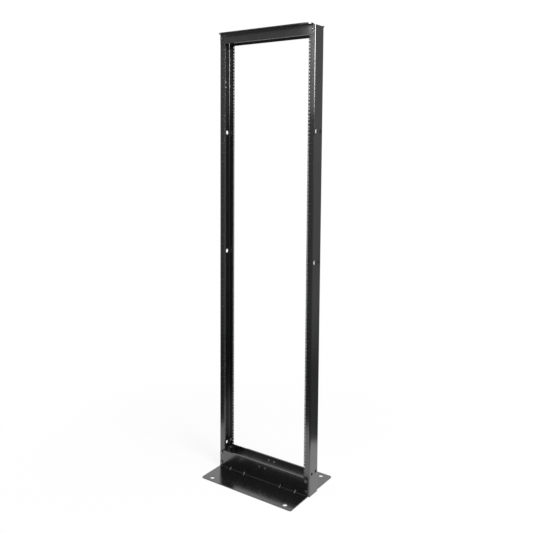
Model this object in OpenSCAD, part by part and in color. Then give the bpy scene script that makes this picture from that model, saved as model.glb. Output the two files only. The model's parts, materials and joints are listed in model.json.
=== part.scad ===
// Two post open frame equipment rack.
// Two folded steel channels stand between a pair of base angles and a pair of top angles.
// Origin: floor level, centre of the footprint. +X right, +Y to the back, +Z up.

/* [Rack units] */
// Number of rack units
unit_count = 45; // [36:1:48]
// Height of one rack unit
unit_h = 44.45; // [44.45]
// Rack holes in each rack unit, measured up from the unit's lower line
unit_holes = [6.35, 22.225, 38.1]; // [4:0.005:40]
// Distance of the columns of rack holes from the edges of the opening
hole_edge = 3.56; // [3.4:0.01:8]
// Diameter of the rack holes
rack_hole_d = 6; // [5:0.1:6.3]

/* [Uprights] */
// Clear opening between the flanges of the two uprights
opening_w = 458; // [450:0.1:520]
// Width of the flanges of each channel, from the outer face of its web
lip_w = 31.35; // [30:0.05:40]
// Depth of each channel, front face to back face
upright_d = 76.2; // [72:0.1:160]
// Sheet thickness of the channels
upright_t = 3; // [2:0.1:4]
// Outside radius of the channel folds
upright_bend_r = 6; // [5:0.1:8]
// Plain length of upright above the highest rack unit
top_margin = 44.45; // [42:0.05:80]

/* [Web holes] */
// Distances of the cable tie hole pairs below the top of the upright
tie_pair_drop = [458.8, 1043]; // [300:0.1:1400]
// Diameter of the cable tie holes
tie_hole_d = 19.05; // [10:0.05:22]
// Front to back distance between the two holes of a pair
pair_gap = 35; // [30:0.1:38]
// Distance of the low hole pair above the standing leaf of the base
low_pair_rise = 15.1; // [12:0.1:60]
// Distance of the middle of the low hole pair behind the front face
low_pair_setback = 38.1; // [36:0.1:44]
// Diameter of the low holes
low_hole_d = 15.9; // [8:0.1:17]
// Distance of the ground strap holes below the top of the upright
ground_drop = 228.6; // [150:0.1:280]
// Vertical distance between the two ground strap holes
ground_gap = 25.4; // [20:0.1:40]
// Distance of the ground strap holes behind the front face
ground_setback = 44.45; // [30:0.01:46]
// Diameter of the ground strap holes
ground_hole_d = 7.1; // [5:0.1:9]

/* [Base angles] */
// Height of the standing leaf of a base angle
base_leaf_h = 88.9; // [80:0.1:140]
// Width of the floor leaf of a base angle
base_foot_w = 152.4; // [120:0.1:220]
// Plate thickness of a base angle
base_t = 4.8; // [3:0.1:6]
// Inside radius of the base angle fold
base_fold_r = 4; // [2:0.1:6]
// Distance of the ends of all angles inside the outer faces of the uprights
end_inset = 6.35; // [3:0.05:7]
// Radius of the outer corners of the floor leaf
foot_corner_r = 9.5; // [3:0.1:20]
// Radius of the upper corners of the standing leaf
leaf_corner_r = 16; // [5:0.1:17]
// Diameter of the floor anchor holes
anchor_d = 22.2; // [10:0.1:24]
// Distance of the anchor holes from the ends of a base angle
anchor_end = 46; // [30:0.1:70]
// Distance of the anchor holes from the outer edge of the floor leaf
anchor_edge = 26.5; // [20:0.1:60]
// Distance between the two accessory holes in the middle of a base angle
accessory_gap = 31.75; // [20:0.01:60]
// Distance of the accessory holes below the top of the standing leaf
accessory_drop = 20.6; // [12:0.1:40]
// Diameter of the accessory holes
accessory_d = 8.3; // [5:0.1:10]

/* [Stamped gussets] */
// Distances of the gussets from the middle of a base angle
gusset_x = [104, 187]; // [60:1:215]
// Height of a gusset up each leaf, from the outside of the fold
gusset_reach = 18; // [14:0.1:24]
// Width of a gusset over its outside
gusset_w = 11; // [9:0.1:14]
// Thickness of the stretched side walls of a gusset
gusset_side = 2.4; // [1.5:0.1:3]

/* [Top angles] */
// Width of the outward ledge of a top angle
top_ledge_w = 38.1; // [34:0.1:80]
// Plate thickness of a top angle
top_t = 4.8; // [3:0.1:6]
// Inside radius of the top angle fold
top_fold_r = 3; // [2:0.1:6]
// Clearance between the hanging leaf and the highest rack unit
top_leaf_gap = 1.65; // [0.5:0.05:5]
// Radius of the outer corners of the ledge
ledge_corner_r = 33; // [5:0.1:33]
// Distances of the cable runway holes from the middle of the rack
runway_hole_x = [104.8, 206.4]; // [60:0.1:212]
// Diameter of the cable runway holes
runway_hole_d = 10.3; // [6:0.1:12]

/* [Frame bolts] */
// Height of the lower base bolts above the floor
low_bolt_z = 25.4; // [20:0.1:40]
// Distance of the upper base bolts below the top of the standing leaf
high_bolt_drop = 12.7; // [12:0.1:20]
// Distance of the top bolts below the top of the uprights
top_bolt_drop = 19.05; // [14:0.05:26]
// Diameter of the frame bolts
bolt_d = 7.9; // [6:0.1:9]
// Clearance of the bolts in the flanges and leaves, on the diameter
bolt_clearance = 0.8; // [0.4:0.1:1.2]
// Clearance between a bolt shank and its nut, on the diameter
nut_clearance = 0.2; // [0.1:0.05:0.4]
// Width across the flats of the bolt heads and nuts
hex_flats = 12.7; // [11.5:0.1:13.5]
// Height of the hexagon of a bolt head
head_h = 4.4; // [3:0.1:6]
// Height of the hexagon of a nut
nut_h = 5.2; // [4:0.1:7]
// Diameter of the round flange under a head or a nut
flange_d = 16; // [15.6:0.1:17]
// Thickness of the round flange under a head or a nut
flange_t = 1.6; // [1:0.1:2]
// Length of shank that shows past the nut
bolt_tail = 2.5; // [1:0.1:6]

/* [Hidden] */
$fn = 64;
eps = 1;
rack_w = opening_w + 2 * lip_w;
web_x = rack_w / 2;
face_y = upright_d / 2;
hole_columns_w = opening_w + 2 * hole_edge;
upright_h = base_leaf_h + unit_count * unit_h + top_margin;
angle_len = rack_w - 2 * end_inset;
angle_end = angle_len / 2;
bolt_x = web_x - lip_w / 2;
anchor_x = angle_end - anchor_end;
bolt_hole_d = bolt_d + bolt_clearance;
base_bolt_z = [low_bolt_z, base_leaf_h - high_bolt_drop];
top_bolt_z = upright_h - top_bolt_drop;
top_z = upright_h + top_t;
top_leaf_h = top_margin + top_t - top_leaf_gap;
ledge_r = min(ledge_corner_r, top_ledge_w - top_t);
ledge_mid = (top_ledge_w + top_t) / 2;
gusset_apex = (gusset_reach + base_t) / sqrt(2);

// Rectangle of width w to the left of x = 0, with its two right corners rounded.
module soft_back(w, d, r) {
  translate([-w, -d / 2]) square([w - r, d]);
  translate([-w, -d / 2 + r]) square([w, d - 2 * r]);
  for (side = [-1, 1])
    translate([-r, side * (d / 2 - r)]) circle(r);
}

// Rectangle in the first quadrant whose corner at the origin is rounded.
module soft_corner(w, h, r) {
  translate([r, 0]) square([w - r, h]);
  translate([0, r]) square([w, h - r]);
  translate([r, r]) circle(r);
}

// Folded angle: the outside of its fold is at the origin, the foot runs along x, the leaf along y.
module angle_profile(foot, leaf, t, fold_r) {
  difference() {
    soft_corner(foot, leaf, fold_r + t);
    translate([t, t]) soft_corner(foot, leaf, fold_r);
  }
}

// Straight length of folded angle along x, standing leaf on y = 0, foot to +y.
module angle_bar(foot, leaf, t, fold_r) {
  translate([-angle_end, 0, 0]) rotate([90, 0, 90]) linear_extrude(angle_len)
    angle_profile(foot, leaf, t, fold_r);
}

// Waste outside a rounded corner whose tip is at the origin, pointing to +x +y.
module corner_waste(r, t) {
  translate([-r, -r, -eps]) linear_extrude(t + 2 * eps) difference() {
    square(r + eps);
    circle(r);
  }
}

// Repeats its children at the right end and mirrored at the left end.
module both_ends() {
  children();
  mirror([1, 0, 0]) children();
}

// Hole along y through a standing or hanging leaf of thickness t.
module leaf_hole(x, z, d, t) {
  translate([x, -eps, z]) rotate([-90, 0, 0]) cylinder(d = d, h = t + 2 * eps);
}

// Hole along z through a foot or a ledge of thickness t, whose lower face is at z.
module foot_hole(x, y, z, d, t) {
  translate([x, y, z - eps]) cylinder(d = d, h = t + 2 * eps);
}

// Hole along y through both flanges of an upright.
module lip_hole(x, z, d) {
  translate([x, 0, z]) rotate([90, 0, 0]) cylinder(d = d, h = upright_d + 2 * eps, center = true);
}

// Hole along x through the web of an upright, setback is measured from its front face.
module web_hole(setback, z, d) {
  translate([web_x - upright_t / 2, setback - face_y, z]) rotate([0, 90, 0])
    cylinder(d = d, h = upright_t + 2 * eps, center = true);
}

// Section of a channel with its web on x = 0 and its open side to -x.
module channel_section() {
  difference() {
    soft_back(lip_w, upright_d, upright_bend_r);
    translate([-upright_t, 0])
      soft_back(lip_w, upright_d - 2 * upright_t, upright_bend_r - upright_t);
  }
}

// Right upright. The left one is its mirror image.
module upright() {
  difference() {
    translate([web_x, 0, 0]) linear_extrude(upright_h) channel_section();
    for (unit = [0 : unit_count - 1], rise = unit_holes)
      lip_hole(hole_columns_w / 2, base_leaf_h + unit * unit_h + rise, rack_hole_d);
    for (z = concat(base_bolt_z, [top_bolt_z]))
      lip_hole(bolt_x, z, bolt_hole_d);
    for (side = [-0.5, 0.5]) {
      for (drop = tie_pair_drop)
        web_hole(face_y + side * pair_gap, upright_h - drop, tie_hole_d);
      web_hole(low_pair_setback + side * pair_gap, base_leaf_h + low_pair_rise, low_hole_d);
      web_hole(ground_setback, upright_h - ground_drop + side * ground_gap, ground_hole_d);
    }
  }
}

// Bar with a round top across a fold, its crown at distance apex from the outside of the fold.
module fold_bar(apex, w) {
  rotate([45, 0, 0]) translate([0, 0, -2 * apex]) linear_extrude(4 * apex) {
    translate([-w / 2, 0]) square([w, apex - w / 2]);
    translate([0, apex - w / 2]) circle(d = w);
  }
}

// Stamped gusset: what it adds inside the fold.
module gusset_crown(x) {
  intersection() {
    translate([x, 0, 0]) fold_bar(gusset_apex, gusset_w);
    translate([x - gusset_w, 0, 0]) cube([2 * gusset_w, 2 * gusset_apex, 2 * gusset_apex]);
  }
}

// Stamped gusset: the dent that it leaves outside the fold.
module gusset_dent(x) {
  translate([x, 0, 0]) fold_bar(gusset_apex - base_t, gusset_w - 2 * gusset_side);
}

// Base angle: its standing leaf is on y = 0 and its foot runs to +y on the floor.
module base_angle() {
  difference() {
    union() {
      angle_bar(base_foot_w, base_leaf_h, base_t, base_fold_r);
      both_ends() for (x = gusset_x) gusset_crown(x);
    }
    both_ends() {
      for (x = gusset_x) gusset_dent(x);
      translate([angle_end, base_foot_w, 0]) corner_waste(foot_corner_r, base_t);
      translate([angle_end, base_t, base_leaf_h]) rotate([90, 0, 0])
        corner_waste(leaf_corner_r, base_t);
      foot_hole(anchor_x, base_foot_w - anchor_edge, 0, anchor_d, base_t);
      leaf_hole(accessory_gap / 2, base_leaf_h - accessory_drop, accessory_d, base_t);
      for (z = base_bolt_z) leaf_hole(bolt_x, z, bolt_hole_d, base_t);
    }
  }
}

// Top angle: its leaf hangs on y = 0 below a ledge that runs to +y above the uprights.
module top_angle() {
  difference() {
    translate([0, 0, top_z]) mirror([0, 0, 1])
      angle_bar(top_ledge_w, top_leaf_h, top_t, top_fold_r);
    both_ends() {
      translate([angle_end, top_ledge_w, upright_h]) corner_waste(ledge_r, top_t);
      for (x = runway_hole_x) foot_hole(x, ledge_mid, upright_h, runway_hole_d, top_t);
      leaf_hole(bolt_x, top_bolt_z, bolt_hole_d, top_t);
    }
  }
}

// Moves a part that is drawn on y = 0 onto the rear face, or turned round onto the front face.
module on_face(end) {
  rotate([0, 0, end > 0 ? 0 : 180]) translate([0, face_y, 0]) children();
}

// Flanged hexagon bolt, its seat on z = 0 and its head above.
module hex_bolt(grip) {
  shank = grip + flange_t + nut_h + bolt_tail;
  cylinder(d = flange_d, h = flange_t);
  translate([0, 0, flange_t]) intersection() {
    cylinder(d = hex_flats / cos(30), h = head_h, $fn = 6);
    cylinder(r1 = hex_flats / 2 + head_h, r2 = hex_flats / 2, h = head_h);
  }
  translate([0, 0, -shank]) cylinder(d = bolt_d, h = shank);
}

// Flanged hexagon nut, its seat on z = 0.
module hex_nut() {
  difference() {
    union() {
      cylinder(d = flange_d, h = flange_t);
      translate([0, 0, flange_t]) cylinder(d = hex_flats / cos(30), h = nut_h, $fn = 6);
    }
    translate([0, 0, -eps]) cylinder(d = bolt_d + nut_clearance, h = flange_t + nut_h + 2 * eps);
  }
}

// Bolt outside a leaf of thickness t: side -1 left or 1 right, end -1 front or 1 rear.
module bolt_at(side, end, z, t) {
  translate([side * bolt_x, end * (face_y + t), z]) rotate([-90 * end, 0, 0])
    color("dimgray") hex_bolt(t + upright_t);
}

// Nut of the same bolt, inside the upright.
module nut_at(side, end, z) {
  translate([side * bolt_x, end * (face_y - upright_t), z]) rotate([90 * end, 0, 0])
    color("dimgray") hex_nut();
}

module left_upright() { color("#2b2c2e") mirror([1, 0, 0]) upright(); }
module right_upright() { color("#2b2c2e") upright(); }
module front_base_angle() { color("#262729") on_face(-1) base_angle(); }
module rear_base_angle() { color("#262729") on_face(1) base_angle(); }
module front_top_angle() { color("#262729") on_face(-1) top_angle(); }
module rear_top_angle() { color("#262729") on_face(1) top_angle(); }
module bolt_base_front_left_low() { bolt_at(-1, -1, base_bolt_z[0], base_t); }
module bolt_base_front_left_high() { bolt_at(-1, -1, base_bolt_z[1], base_t); }
module bolt_base_front_right_low() { bolt_at(1, -1, base_bolt_z[0], base_t); }
module bolt_base_front_right_high() { bolt_at(1, -1, base_bolt_z[1], base_t); }
module bolt_base_rear_left_low() { bolt_at(-1, 1, base_bolt_z[0], base_t); }
module bolt_base_rear_left_high() { bolt_at(-1, 1, base_bolt_z[1], base_t); }
module bolt_base_rear_right_low() { bolt_at(1, 1, base_bolt_z[0], base_t); }
module bolt_base_rear_right_high() { bolt_at(1, 1, base_bolt_z[1], base_t); }
module bolt_top_front_left() { bolt_at(-1, -1, top_bolt_z, top_t); }
module bolt_top_front_right() { bolt_at(1, -1, top_bolt_z, top_t); }
module bolt_top_rear_left() { bolt_at(-1, 1, top_bolt_z, top_t); }
module bolt_top_rear_right() { bolt_at(1, 1, top_bolt_z, top_t); }
module nut_base_front_left_low() { nut_at(-1, -1, base_bolt_z[0]); }
module nut_base_front_left_high() { nut_at(-1, -1, base_bolt_z[1]); }
module nut_base_front_right_low() { nut_at(1, -1, base_bolt_z[0]); }
module nut_base_front_right_high() { nut_at(1, -1, base_bolt_z[1]); }
module nut_base_rear_left_low() { nut_at(-1, 1, base_bolt_z[0]); }
module nut_base_rear_left_high() { nut_at(-1, 1, base_bolt_z[1]); }
module nut_base_rear_right_low() { nut_at(1, 1, base_bolt_z[0]); }
module nut_base_rear_right_high() { nut_at(1, 1, base_bolt_z[1]); }
module nut_top_front_left() { nut_at(-1, -1, top_bolt_z); }
module nut_top_front_right() { nut_at(1, -1, top_bolt_z); }
module nut_top_rear_left() { nut_at(-1, 1, top_bolt_z); }
module nut_top_rear_right() { nut_at(1, 1, top_bolt_z); }

left_upright();
right_upright();
front_base_angle();
rear_base_angle();
front_top_angle();
rear_top_angle();
bolt_base_front_left_low();
bolt_base_front_left_high();
bolt_base_front_right_low();
bolt_base_front_right_high();
bolt_base_rear_left_low();
bolt_base_rear_left_high();
bolt_base_rear_right_low();
bolt_base_rear_right_high();
bolt_top_front_left();
bolt_top_front_right();
bolt_top_rear_left();
bolt_top_rear_right();
nut_base_front_left_low();
nut_base_front_left_high();
nut_base_front_right_low();
nut_base_front_right_high();
nut_base_rear_left_low();
nut_base_rear_left_high();
nut_base_rear_right_low();
nut_base_rear_right_high();
nut_top_front_left();
nut_top_front_right();
nut_top_rear_left();
nut_top_rear_right();
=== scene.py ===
import json
import math

import bmesh
import bpy
from mathutils import Matrix, Vector


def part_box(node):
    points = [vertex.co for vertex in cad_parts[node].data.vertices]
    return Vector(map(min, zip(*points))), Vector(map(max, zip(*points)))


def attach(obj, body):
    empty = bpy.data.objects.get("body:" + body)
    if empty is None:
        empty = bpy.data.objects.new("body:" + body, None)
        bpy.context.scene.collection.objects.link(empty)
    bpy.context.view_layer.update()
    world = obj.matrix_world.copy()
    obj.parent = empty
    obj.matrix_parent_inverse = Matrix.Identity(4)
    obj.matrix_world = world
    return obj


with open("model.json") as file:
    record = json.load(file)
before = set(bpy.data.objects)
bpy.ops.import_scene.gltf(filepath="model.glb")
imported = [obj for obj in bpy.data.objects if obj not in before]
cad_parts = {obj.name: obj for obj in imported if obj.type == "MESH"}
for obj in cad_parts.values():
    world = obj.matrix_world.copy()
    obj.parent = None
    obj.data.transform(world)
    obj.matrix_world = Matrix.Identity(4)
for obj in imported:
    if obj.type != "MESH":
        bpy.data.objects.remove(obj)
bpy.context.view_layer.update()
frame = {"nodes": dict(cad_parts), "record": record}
nodes = frame["nodes"]
record = frame["record"]
print("frame loaded:", len(nodes), "parts")


class Wire:  # one output of a node, so that shader maths reads as plain sums
    def __init__(self, board, socket):
        self.board = board
        self.socket = socket

    def out(self, name):
        return Wire(self.board, self.socket.node.outputs[name])

    def maths(self, operation, *values):
        return self.board.node("ShaderNodeMath", {"operation": operation}, dict(enumerate(values)))

    def __add__(self, other):
        return self.maths("ADD", self, other)

    def __radd__(self, other):
        return self.maths("ADD", other, self)

    def __sub__(self, other):
        return self.maths("SUBTRACT", self, other)

    def __rsub__(self, other):
        return self.maths("SUBTRACT", other, self)

    def __mul__(self, other):
        return self.maths("MULTIPLY", self, other)

    def __rmul__(self, other):
        return self.maths("MULTIPLY", other, self)

    def most(self, other):
        return self.maths("MAXIMUM", self, other)


class Board:  # a node tree, and the one way in which a node is put on it
    def __init__(self, tree):
        self.tree = tree
        tree.nodes.clear()

    def node(self, kind, settings=None, values=None, out=0):
        made = self.tree.nodes.new(kind)
        for name, value in (settings or {}).items():
            setattr(made, name, value)
        for key, value in (values or {}).items():
            if isinstance(value, Wire):
                self.tree.links.new(value.socket, made.inputs[key])
            else:
                made.inputs[key].default_value = value
        return Wire(self, made.outputs[out]) if len(made.outputs) else made

    def blend(self, amount, first, second):  # colours
        return self.node("ShaderNodeMix", {"data_type": "RGBA"}, {0: amount, 6: first, 7: second}, 2)

    def spread(self, value, low, high, toLow=0.0, toHigh=1.0):  # a stretched and clamped number
        return self.node("ShaderNodeMapRange", {"clamp": True},
                         {"Value": value, "From Min": low, "From Max": high,
                          "To Min": toLow, "To Max": toHigh})

    def noise(self, place, scale, detail, rough=0.5):
        return self.node("ShaderNodeTexNoise", None,
                         {"Vector": place, "Scale": scale, "Detail": detail, "Roughness": rough})

    def stretch(self, place, scale):  # a place with each axis scaled
        return self.node("ShaderNodeMapping", None, {"Vector": place, "Scale": scale})

    def softEdge(self, radius, samples):  # a rounded normal, and how far it turns from the flat one
        soft = self.node("ShaderNodeBevel", {"samples": samples}, {"Radius": radius})
        face = self.node("ShaderNodeNewGeometry").out("Normal")
        turn = self.node("ShaderNodeVectorMath", {"operation": "DOT_PRODUCT"}, {0: soft, 1: face}, "Value")
        return soft, 1.0 - turn


def newMaterial(name):
    material = bpy.data.materials.new(name)
    material.use_nodes = True
    return material, Board(material.node_tree)


def finishMaterial(board, shader):
    board.node("ShaderNodeOutputMaterial", None, {"Surface": shader})


# Black powder coat on every folded part. A noise is given as scale, detail and roughness.
# A range is given as low and high limits, then what they become where that isn't 0 and 1.
coat = {
    "deep": (0.0034, 0.0035, 0.0038, 1),  # the coat in its thick middle
    "thin": (0.0052, 0.0054, 0.0057, 1),  # the same coat where it lies thinner
    "edge": (0.0200, 0.0205, 0.0215, 1),  # the coat along the folds and cut edges: partly rubbed by handling, partly a painted highlight of the rounded edges
    "gloss": 0.16,  # roughness of the clean coat
    "dull": 0.22,  # roughness where hands and cartons have touched it
    "edgeDull": 0.08,  # roughness added along rubbed edges
    "index": 1.65,  # index of refraction of the hard resin
    "sheen": 1.0,  # its specular level
    "cloud": (9.0, 4.0, 0.6),
    "cloudRange": (0.3, 0.7),
    "smear": (14.0, 5.0, 0.65),
    "smearStretch": (3.0, 3.0, 0.7),
    "smearRange": (0.35, 0.75),
    "grain": (2600.0, 1.0),
    "grainRange": (0.62, 0.8, 0.0, 0.25),
    "peel": (700.0, 2.0, 0.55),  # orange peel, its scale in cells to the metre
    "peelDepth": 0.000012,
    "peelStrength": 0.6,
    "edgeWidth": 0.0009,
    "edgeSamples": 6,
    "edgeRange": (0.02, 0.25),
    "edgeCloud": (0.35, 0.65, 0.25, 1.0),  # the rubbed wear and the painted edge highlight come and go along the edges
    "edgeShow": 0.6,
}


def coatMaterial():
    material, board = newMaterial("frame_coat")
    place = board.node("ShaderNodeTexCoord").out("Object")
    cloud = board.noise(place, *coat["cloud"])
    smear = board.noise(board.stretch(place, coat["smearStretch"]), *coat["smear"])
    grain = board.noise(place, *coat["grain"])
    peel = board.noise(place, *coat["peel"])
    soft, turned = board.softEdge(coat["edgeWidth"], coat["edgeSamples"])
    edge = board.spread(turned, *coat["edgeRange"]) * board.spread(cloud, *coat["edgeCloud"])
    tone = board.blend(board.spread(cloud, *coat["cloudRange"]), coat["deep"], coat["thin"])
    tone = board.blend(board.spread(grain, *coat["grainRange"]), tone, coat["edge"])
    # lighter along the folds and cut edges: partly rubbed coat, partly a painted highlight of the rounded
    # edges
    tone = board.blend(edge * coat["edgeShow"], tone, coat["edge"])
    rough = (board.spread(smear, *coat["smearRange"], coat["gloss"], coat["dull"])
             + edge * coat["edgeDull"])
    bump = board.node("ShaderNodeBump", None, {
        "Strength": coat["peelStrength"], "Distance": coat["peelDepth"],
        "Height": peel, "Normal": soft})
    finishMaterial(board, board.node("ShaderNodeBsdfPrincipled", None, {
        "Base Color": tone, "Roughness": rough, "Normal": bump, "IOR": coat["index"],
        "Specular IOR Level": coat["sheen"]}))
    return material


# Dark zinc on the bolts and nuts
zinc = {
    "dark": (0.17, 0.172, 0.178, 1),
    "light": (0.29, 0.292, 0.298, 1),
    "worn": (0.42, 0.42, 0.42, 1),
    "gloss": 0.24,
    "dull": 0.42,
    "blotch": (260.0, 3.0, 0.6),
    "blotchRange": (0.35, 0.65),
    "streak": (900.0, 3.0, 0.6),
    "streakStretch": (1.0, 6.0, 1.0),
    "streakRange": (0.3, 0.7),
    "streakDepth": 0.00002,
    "streakStrength": 0.35,
    "edgeWidth": 0.0004,
    "edgeSamples": 4,
    "edgeRange": (0.02, 0.2),
    "edgeShow": 0.7,
}


def zincMaterial():
    material, board = newMaterial("fastener")
    place = board.node("ShaderNodeTexCoord").out("Object")
    blotch = board.noise(place, *zinc["blotch"])
    streak = board.noise(board.stretch(place, zinc["streakStretch"]), *zinc["streak"])
    soft, turned = board.softEdge(zinc["edgeWidth"], zinc["edgeSamples"])
    edge = board.spread(turned, *zinc["edgeRange"])
    tone = board.blend(board.spread(blotch, *zinc["blotchRange"]), zinc["dark"], zinc["light"])
    tone = board.blend(edge * zinc["edgeShow"], tone, zinc["worn"])
    rough = board.spread(streak, *zinc["streakRange"], zinc["gloss"], zinc["dull"])
    bump = board.node("ShaderNodeBump", None, {
        "Strength": zinc["streakStrength"], "Distance": zinc["streakDepth"],
        "Height": streak, "Normal": soft})
    finishMaterial(board, board.node("ShaderNodeBsdfPrincipled", None, {
        "Base Color": tone, "Roughness": rough, "Metallic": 1.0, "Normal": bump}))
    return material


# Grey print of the unit marks
ink = {
    "full": (0.13, 0.13, 0.13, 1),
    "faded": (0.06, 0.06, 0.06, 1),
    "gloss": 0.42,
    "dull": 0.6,
    "patch": (900.0, 3.0, 0.7),
    "patchRange": (0.3, 0.7),
    "wear": (60.0, 3.0, 0.6),
    "wearRange": (0.8, 1.3),
    "depth": 0.00001,
    "strength": 0.3,
}


def inkMaterial():
    material, board = newMaterial("mark_ink")
    place = board.node("ShaderNodeTexCoord").out("Object")
    patch = board.noise(place, *ink["patch"])
    wear = board.noise(place, *ink["wear"])
    tone = board.blend(board.spread(patch + wear, *ink["wearRange"]), ink["full"], ink["faded"])
    rough = board.spread(patch, *ink["patchRange"], ink["gloss"], ink["dull"])
    bump = board.node("ShaderNodeBump", None, {
        "Strength": ink["strength"], "Distance": ink["depth"], "Height": patch})
    finishMaterial(board, board.node("ShaderNodeBsdfPrincipled", None, {
        "Base Color": tone, "Roughness": rough, "Normal": bump}))
    return material


coatLook = coatMaterial()
zincLook = zincMaterial()
inkLook = inkMaterial()
for name, part in nodes.items():
    look = zincLook if name.startswith(("bolt", "nut")) else coatLook
    for slot in part.material_slots:
        slot.material = look
print("materials made")


def mountOf(name):
    return next(mount for mount in record["mounts"] if mount["name"] == name)


# Rack units, read from the record's bolt patterns, and the faces of the uprights
firstUnit = mountOf("bottom_unit_front")
lastUnit = mountOf("top_unit_front")
units = {"height": 0.04445}
units["bottom"] = firstUnit["pos_m"][2] - units["height"] / 2
units["count"] = round((lastUnit["pos_m"][2] - firstUnit["pos_m"][2]) / units["height"]) + 1
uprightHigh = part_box("right_upright")[1]
faceY = uprightHigh.y
webX = uprightHigh.x


def meshFrom(name, points, faces):
    mesh = bpy.data.meshes.new(name)
    mesh.from_pydata(points, [], faces)
    mesh.update()
    return mesh


def meshObject(name, mesh, material=None):
    made = bpy.data.objects.new(name, mesh)
    bpy.context.scene.collection.objects.link(made)
    if material:
        mesh.materials.clear()
        mesh.materials.append(material)
    return made


def bake(holder, modifier, name):  # the evaluated result as a plain mesh of its own
    seen = bpy.context.evaluated_depsgraph_get()
    mesh = bpy.data.meshes.new_from_object(holder.evaluated_get(seen))
    mesh.name = name
    holder.modifiers.remove(modifier)
    bpy.data.objects.remove(holder)
    return meshObject(name, mesh)


def ladderTree(material):  # copies of one small shape, one at the foot of every unit in every column
    tree = bpy.data.node_groups.new("unit_ladder", "GeometryNodeTree")
    face = tree.interface
    face.new_socket("Geometry", in_out="OUTPUT", socket_type="NodeSocketGeometry")
    face.new_socket("Shape", in_out="INPUT", socket_type="NodeSocketObject")
    face.new_socket("Columns", in_out="INPUT", socket_type="NodeSocketObject")
    face.new_socket("Units", in_out="INPUT", socket_type="NodeSocketInt")
    face.new_socket("Unit height", in_out="INPUT", socket_type="NodeSocketFloat")
    board = Board(tree)
    inlet = board.node("NodeGroupInput")
    step = board.node("ShaderNodeCombineXYZ", None, {"Z": inlet.out("Unit height")})
    rungs = board.node("GeometryNodeMeshLine", None, {"Count": inlet.out("Units"), "Offset": step})
    shape = board.node("GeometryNodeObjectInfo", None, {"Object": inlet.out("Shape")}).out("Geometry")
    columns = board.node("GeometryNodeObjectInfo", None, {"Object": inlet.out("Columns")}).out("Geometry")
    ladder = board.node("GeometryNodeInstanceOnPoints", None, {"Points": rungs, "Instance": shape})
    ladder = board.node("GeometryNodeRealizeInstances", None, {"Geometry": ladder})
    whole = board.node("GeometryNodeInstanceOnPoints", None, {"Points": columns, "Instance": ladder})
    whole = board.node("GeometryNodeRealizeInstances", None, {"Geometry": whole})
    whole = board.node("GeometryNodeSetMaterial", None, {"Geometry": whole, "Material": material})
    board.node("NodeGroupOutput", None, {"Geometry": whole})
    return tree


def growLadder(name, shape, places, material):
    tree = ladderTree(material)
    holder = meshObject(name + "_holder", bpy.data.meshes.new(name + "_holder"))
    posts = meshObject(name + "_posts", meshFrom(name + "_posts", places, []))
    modifier = holder.modifiers.new("ladder", "NODES")
    modifier.node_group = tree
    inputs = {item.name: item.identifier for item in tree.interface.items_tree
              if item.item_type == "SOCKET" and item.in_out == "INPUT"}
    modifier[inputs["Shape"]] = shape
    modifier[inputs["Columns"]] = posts
    modifier[inputs["Units"]] = units["count"]
    modifier[inputs["Unit height"]] = units["height"]
    made = bake(holder, modifier, name)
    bpy.data.objects.remove(posts)
    bpy.data.objects.remove(shape)
    return made


# Printed unit lines and numbers on the flanges
marks = {
    "lineFrom": 0.0070,  # distances inside the outer face of the web
    "lineTo": 0.0125,
    "halfTo": 0.0100,  # end of the shorter line half way up a unit
    "lineH": 0.0009,
    "lift": 0.00006,
    "numberX": 0.0176,
    "numberH": 0.0044,
    "digitShare": 0.7,  # height of a digit as a share of the letter size
    "curveSteps": 2,
}


def markName(kind, side, end):
    return "%s_%s_%s" % (kind, "rear" if end > 0 else "front", "right" if side > 0 else "left")


def lineShape(side):
    points, faces = [], []
    for rise, reach in ((0.0, marks["lineTo"]), (units["height"] / 2, marks["halfTo"])):
        start = len(points)
        for x in (marks["lineFrom"], reach):
            for z in (-marks["lineH"] / 2, marks["lineH"] / 2):
                points.append((-side * x, 0, rise + z))
        faces.append((start, start + 2, start + 3, start + 1))
    return meshObject("line_shape", meshFrom("line_shape", points, faces))


def turnFaces(mesh, facing):  # every face of a flat mesh turned towards facing
    work = bmesh.new()
    work.from_mesh(mesh)
    work.normal_update()
    bmesh.ops.reverse_faces(work, faces=[face for face in work.faces if face.normal.dot(facing) < 0])
    work.to_mesh(mesh)
    work.free()


def unitLines(side, end):
    place = (side * webX, end * (faceY + marks["lift"]), units["bottom"])
    lines = growLadder(markName("unit_lines", side, end), lineShape(side), [place], inkLook)
    turnFaces(lines.data, Vector((0, end, 0)))
    return lines


def numberMesh(number):  # its digits, flat and centred on the origin
    words = bpy.data.curves.new("number", "FONT")
    words.body = str(number)
    words.size = marks["numberH"] / marks["digitShare"]
    words.align_x = "CENTER"
    words.align_y = "CENTER"
    words.resolution_u = marks["curveSteps"]
    holder = bpy.data.objects.new("number", words)
    bpy.context.scene.collection.objects.link(holder)
    seen = bpy.context.evaluated_depsgraph_get()
    mesh = bpy.data.meshes.new_from_object(holder.evaluated_get(seen))
    bpy.data.objects.remove(holder)
    return mesh


def unitNumbers(side, end):
    turn = Matrix.Rotation(math.radians(90), 4, "X")
    if end > 0:
        turn = Matrix.Rotation(math.radians(180), 4, "Z") @ turn
    work = bmesh.new()
    for number in range(1, units["count"] + 1):
        mesh = numberMesh(number)
        height = units["bottom"] + (number - 0.5) * units["height"]
        place = Vector((side * (webX - marks["numberX"]), end * (faceY + marks["lift"]), height))
        mesh.transform(Matrix.Translation(place) @ turn)
        work.from_mesh(mesh)
        bpy.data.meshes.remove(mesh)
    name = markName("unit_numbers", side, end)
    whole = bpy.data.meshes.new(name)
    work.to_mesh(whole)
    work.free()
    turnFaces(whole, Vector((0, end, 0)))
    return meshObject(name, whole, inkLook)


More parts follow.
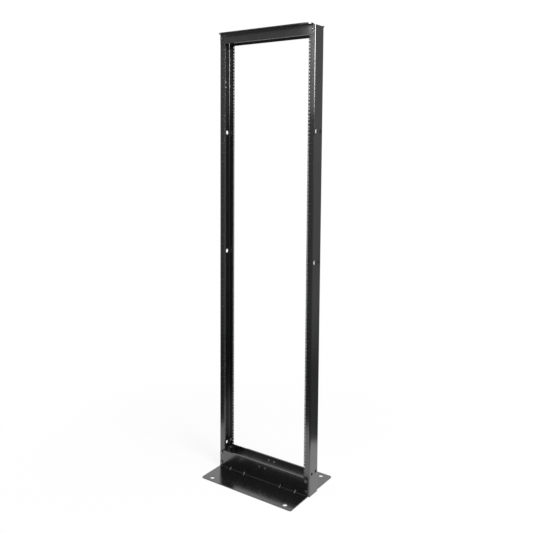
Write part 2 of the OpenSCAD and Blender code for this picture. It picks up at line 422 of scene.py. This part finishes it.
flanges = [(side, end) for side in (-1, 1) for end in (-1, 1)]
printed = [unitLines(side, end) for side, end in flanges]
printed += [unitNumbers(side, end) for side, end in flanges]
for piece in printed:
    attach(piece, "root")
print("unit marks:", len(printed), "pieces")


# Threaded tails of the frame bolts
tail = {
    "sides": 20,
    "pitch": 0.00125,
    "rootR": 0.00397,
    "crestR": 0.00425,
    "steps": 4,  # rows to a turn
    "tip": 0.0006,  # chamfered tip beyond the plain shank
    "rings": ((0.98, 0.3), (0.82, 1.0)),  # rings of the tip, as shares of the root radius and of the tip
}


def tailMesh(length):  # a helical thread along +z from 0 to length, closed by a chamfered tip
    sides = tail["sides"]
    rows = int(round(length / tail["pitch"] * tail["steps"])) + 1
    points, faces = [], []

    def addPoint(radius, side, z):
        angle = 2 * math.pi * side / sides
        points.append((radius * math.cos(angle), radius * math.sin(angle), z))

    for row in range(rows):
        turns = row / tail["steps"]
        wave = 0.5 - 0.5 * math.cos(2 * math.pi * turns)
        radius = tail["rootR"] + (tail["crestR"] - tail["rootR"]) * wave
        for side in range(sides):
            z = (turns + side / sides - 0.5) * tail["pitch"]
            addPoint(radius, side, min(max(z, 0.0), length))
    for radiusShare, tipShare in tail["rings"]:
        for side in range(sides):
            addPoint(tail["rootR"] * radiusShare, side, length + tail["tip"] * tipShare)
    rows += len(tail["rings"])
    for row in range(rows - 1):
        for side in range(sides):
            a, b = row * sides + side, row * sides + (side + 1) % sides
            faces.append((a, b, b + sides, a + sides))
    faces.append(tuple((rows - 1) * sides + side for side in range(sides)))
    return points, faces


def boltTails():
    points, faces = [], []
    for name in sorted(name for name in nodes if name.startswith("bolt_")):
        low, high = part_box(name)
        nutLow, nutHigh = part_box(name.replace("bolt_", "nut_"))
        end = 1 if "rear" in name else -1  # the tail points back towards the middle of the channel
        seat = nutLow.y if end > 0 else nutHigh.y
        stop = low.y if end > 0 else high.y
        tailPoints, tailFaces = tailMesh(abs(stop - seat))
        start = len(points)
        for x, y, z in tailPoints:
            points.append(((low.x + high.x) / 2 + x, seat - end * z, (low.z + high.z) / 2 + end * y))
        faces += [tuple(start + index for index in face) for face in tailFaces]
    return meshObject("bolt_tails", meshFrom("bolt_tails", points, faces), zincLook)


tails = boltTails()
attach(tails, "root")
print("bolt tails:", len(tails.data.polygons), "faces")


# Floor and room
studio = {
    "white": (1, 1, 1, 1),
    "ambient": 0.55,  # light of the room on the object
    "floorR": 12.0,
    "floorDrop": 0.0004,  # floor below the feet, so that no two faces share a plane
    "floorTone": (0.86, 0.86, 0.86, 1),
    "floorWhite": 0.86,  # share of plain white in the floor near the feet
    "shadowFrom": 0.5,  # from here outwards the shadow fades
    "shadowR": 1.6,  # and here it is gone
}


def seenDirectly(board):  # 1 for what the eye, a gloss or a glass looks at
    path = board.node("ShaderNodeLightPath")
    return path.out("Is Camera Ray").most(path.out("Is Glossy Ray")).most(path.out("Is Transmission Ray"))


def makeFloor():
    size = studio["floorR"]
    corners = [(-size, -size, 0), (size, -size, 0), (size, size, 0), (-size, size, 0)]
    floor = meshObject("studio_floor", meshFrom("studio_floor", corners, [(0, 1, 2, 3)]))
    floor.location.z = -studio["floorDrop"]
    material, board = newMaterial("studio_floor")
    place = board.node("ShaderNodeTexCoord").out("Object")
    far = board.node("ShaderNodeVectorMath", {"operation": "LENGTH"}, {0: place}, "Value")
    share = seenDirectly(board) * board.spread(
        far, studio["shadowFrom"], studio["shadowR"], studio["floorWhite"], 1.0)
    paint = board.node("ShaderNodeBsdfDiffuse", None, {"Color": studio["floorTone"]})
    glow = board.node("ShaderNodeEmission", None, {"Color": studio["white"], "Strength": 1.0})
    finishMaterial(board, board.node("ShaderNodeMixShader", None, {0: share, 1: paint, 2: glow}))
    floor.data.materials.append(material)


def makeWorld():
    world = bpy.data.worlds.new("studio")
    bpy.context.scene.world = world
    world.use_nodes = True
    board = Board(world.node_tree)
    room = board.node("ShaderNodeBackground", None,
                      {"Color": studio["white"], "Strength": studio["ambient"]})
    back = board.node("ShaderNodeBackground", None, {"Color": studio["white"], "Strength": 1.0})
    whole = board.node("ShaderNodeMixShader", None, {0: seenDirectly(board), 1: room, 2: back})
    board.node("ShaderNodeOutputWorld", None, {"Surface": whole})


# Dark glowing cards round the frame and a dark lid over it, which only glosses see: painted reflections of
# a darker room on the coat and the zinc
reflectionCards = {
    "radius": 0.72,
    "sectors": ((-80, -13, 2.6), (-13, 100, 1.8), (100, 160, 2.6)),  # degrees from and to, and top edge
    "facet": 4,  # degrees
    "lid": 2.62,
    "lidFacets": 40,
    "low": 0.09,  # glow of the painted reflections near the floor, at the middle and above
    "middle": 0.23,
    "high": 0.30,
    "lowRise": (0.42, 0.75),  # heights between which the glow changes
    "highRise": (0.9, 1.7),
    "depthRange": (-0.5, 0.2, 0.68, 1.12),  # the front cards glow less than those beside the frame
    "lidRange": (2.4, 2.6, 1.0, 0.25),
}


def flagMesh():
    points, faces = [], []
    for start, stop, top in reflectionCards["sectors"]:
        steps = round((stop - start) / reflectionCards["facet"])
        for step in range(steps + 1):
            angle = math.radians(start + (stop - start) * step / steps)
            x, y = reflectionCards["radius"] * math.sin(angle), -reflectionCards["radius"] * math.cos(angle)
            points += [(x, y, 0.0), (x, y, top)]
            if step:
                last = len(points)
                faces.append((last - 4, last - 3, last - 1, last - 2))
    rim = len(points)
    for facet in range(reflectionCards["lidFacets"]):
        angle = 2 * math.pi * facet / reflectionCards["lidFacets"]
        points.append((reflectionCards["radius"] * math.sin(angle), reflectionCards["radius"] * math.cos(angle), reflectionCards["lid"]))
    faces.append(tuple(range(rim, len(points))))
    return meshFrom("studio_flags", points, faces)


def makeFlags():
    card = meshObject("studio_flags", flagMesh())
    material, board = newMaterial("studio_flags")
    place = board.node("ShaderNodeTexCoord").out("Object")
    split = board.node("ShaderNodeSeparateXYZ", None, {"Vector": place})
    height = split.out("Z")
    level = (board.spread(height, *reflectionCards["lowRise"], reflectionCards["low"], reflectionCards["middle"])
             + board.spread(height, *reflectionCards["highRise"], 0.0, reflectionCards["high"] - reflectionCards["middle"]))
    level = level * board.spread(split.out("Y"), *reflectionCards["depthRange"])
    level = level * board.spread(height, *reflectionCards["lidRange"])
    # the cards glow and only reflections see them: a painted reflection, graded by height and depth
    glow = board.node("ShaderNodeEmission", None, {"Color": studio["white"], "Strength": level})
    finishMaterial(board, glow)
    card.data.materials.append(material)
    for sight in ("camera", "diffuse", "transmission", "volume_scatter", "shadow"):
        setattr(card, "visible_" + sight, False)


# Lamps
lamps = {
    "aimAt": (0, 0, 1.6),
    "keyAt": (3.28, -0.88, 2.95),
    "keyWide": 2.0,
    "keyTall": 1.7,
    "keyPower": 180.0,
    "fillAt": (-2.6, -3.2, 3.4),
    "fillSize": 1.8,
    "fillPower": 40.0,
}


def softbox(name, place, wide, tall, power):
    lamp = bpy.data.lights.new(name, "AREA")
    lamp.shape = "RECTANGLE"
    lamp.size = wide
    lamp.size_y = tall
    lamp.energy = power
    made = bpy.data.objects.new(name, lamp)
    bpy.context.scene.collection.objects.link(made)
    made.location = place
    aim = Vector(lamps["aimAt"]) - Vector(place)
    made.rotation_euler = aim.to_track_quat("-Z", "Y").to_euler()
    made.visible_camera = False


# Camera
eye = {
    "at": (1.713804, -2.574355, 1.613268),
    "turn": 36.012,  # degrees to the left of looking straight back
    "tip": 5.306,  # degrees down
    "roll": 0.182,
    "lens": 44.673,
    "sensor": 36.0,
    "shiftX": 0.04677,
    "shiftY": -0.11231,
    "near": 0.1,
    "far": 60.0,
}


def makeCamera():
    lens = bpy.data.cameras.new("camera")
    lens.sensor_width = eye["sensor"]
    lens.lens = eye["lens"]
    lens.shift_x = eye["shiftX"]
    lens.shift_y = eye["shiftY"]
    lens.clip_start = eye["near"]
    lens.clip_end = eye["far"]
    made = bpy.data.objects.new("camera", lens)
    bpy.context.scene.collection.objects.link(made)
    made.matrix_world = (Matrix.Translation(eye["at"])
                         @ Matrix.Rotation(math.radians(eye["turn"]), 4, "Z")
                         @ Matrix.Rotation(math.radians(90 - eye["tip"]), 4, "X")
                         @ Matrix.Rotation(math.radians(eye["roll"]), 4, "Z"))
    bpy.context.scene.camera = made


makeFloor()
makeWorld()
makeFlags()
softbox("key_softbox", lamps["keyAt"], lamps["keyWide"], lamps["keyTall"], lamps["keyPower"])
softbox("fill_softbox", lamps["fillAt"], lamps["fillSize"], lamps["fillSize"], lamps["fillPower"])
makeCamera()
bpy.context.scene.view_settings.view_transform = "Standard"
print("studio made")
